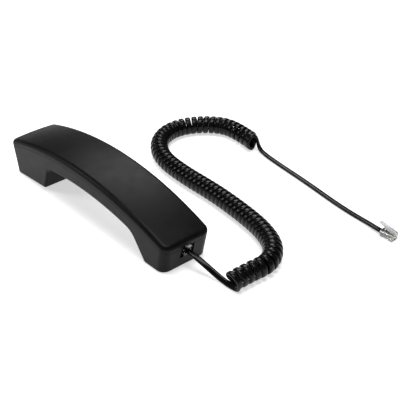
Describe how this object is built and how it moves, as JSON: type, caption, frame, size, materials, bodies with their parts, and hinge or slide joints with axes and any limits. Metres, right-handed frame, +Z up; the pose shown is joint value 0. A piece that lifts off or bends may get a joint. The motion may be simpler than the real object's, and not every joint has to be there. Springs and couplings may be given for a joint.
{
  "type": "telephone handset",
  "caption": "Corded telephone handset lying face down, with a latching plug in its jack, a curly cord laid in an S and a clear modular plug.",
  "frame": {"origin": "on the table, under the middle of the handset", "axes": "+X along the handset from the earpiece to the mouthpiece and its jack, +Y across it towards the laid cord, +Z up from the table"},
  "size_m": [0.2844, 0.1892, 0.0455],
  "materials": {
    "handset_shell": "satin moulded ABS, near black",
    "inner_plastic": "moulded black plastic",
    "cord_jacket": "extruded black jacket, semi-gloss",
    "plug_clear": "clear polycarbonate",
    "contact_gold": "gold-plated phosphor bronze",
    "steel": "zinc-plated steel",
    "magnet_steel": "nickel plated",
    "acoustic_cloth": "woven acoustic cloth",
    "soft_rubber": "soft moulded rubber",
    "diaphragm_film": "thin polyester film",
    "copper_coil": "enamelled copper wire",
    "circuit_board": "coated circuit board",
    "mic_can": "drawn aluminium",
    "wire_red": "red wire insulation",
    "wire_white": "white wire insulation",
    "conductor_jacket": "dark conductor insulation"
  },
  "bodies": {
    "handset": {"front_shell": "handset_shell", "handle_weight": "steel", "jack_contacts": "contact_gold", "jack_housing": "inner_plastic", "microphone_boot": "soft_rubber", "microphone_capsule": "mic_can", "microphone_cloth": "acoustic_cloth", "microphone_wires": "wire_white", "rear_shell": "handset_shell", "receiver_cap": "inner_plastic", "receiver_cloth": "acoustic_cloth", "receiver_frame": "inner_plastic", "receiver_gasket": "soft_rubber", "receiver_magnet": "magnet_steel", "receiver_terminal_board": "circuit_board", "receiver_top_plate": "steel", "receiver_wires": "wire_red", "receiver_yoke": "steel", "shell_screws": "steel", "weight_screws": "steel"},
    "cord": {"cord_curl": "cord_jacket", "cord_lead_handset": "cord_jacket", "cord_lead_line": "cord_jacket", "handset_plug_body": "plug_clear", "handset_plug_conductors": "conductor_jacket", "handset_plug_contacts": "contact_gold", "handset_plug_jacket_end": "cord_jacket", "line_plug_body": "plug_clear", "line_plug_conductors": "conductor_jacket", "line_plug_contacts": "contact_gold", "line_plug_jacket_end": "cord_jacket"},
    "handset_plug_latch": {"handset_plug_latch": "plug_clear"},
    "line_plug_latch": {"line_plug_latch": "plug_clear"},
    "receiver_diaphragm": {"receiver_diaphragm": "diaphragm_film", "receiver_voice_coil": "copper_coil"}
  },
  "joints": [
    {"name": "cord_unplug", "type": "slide", "parent": "handset", "child": "cord", "axis": [1, 0, 0], "range_m": [0, 0.014]},
    {"name": "handset_latch_press", "type": "hinge", "parent": "cord", "child": "handset_plug_latch", "pos_m": [0.0904, 0, 0.01765], "axis": [0, 1, 0], "range_deg": [0, 7], "stiffness_Nm_per_rad": 0.12},
    {"name": "line_latch_press", "type": "hinge", "parent": "cord", "child": "line_plug_latch", "pos_m": [0.18084, 0.14127, 0.00665], "axis": [0.1045, -0.9945, 0], "range_deg": [0, 17], "stiffness_Nm_per_rad": 0.12},
    {"name": "receiver_diaphragm_travel", "type": "slide", "parent": "handset", "child": "receiver_diaphragm", "axis": [-0.071, 0, 0.9975], "range_m": [-0.00025, 0.00025], "stiffness_N_per_m": 1000}
  ]
}
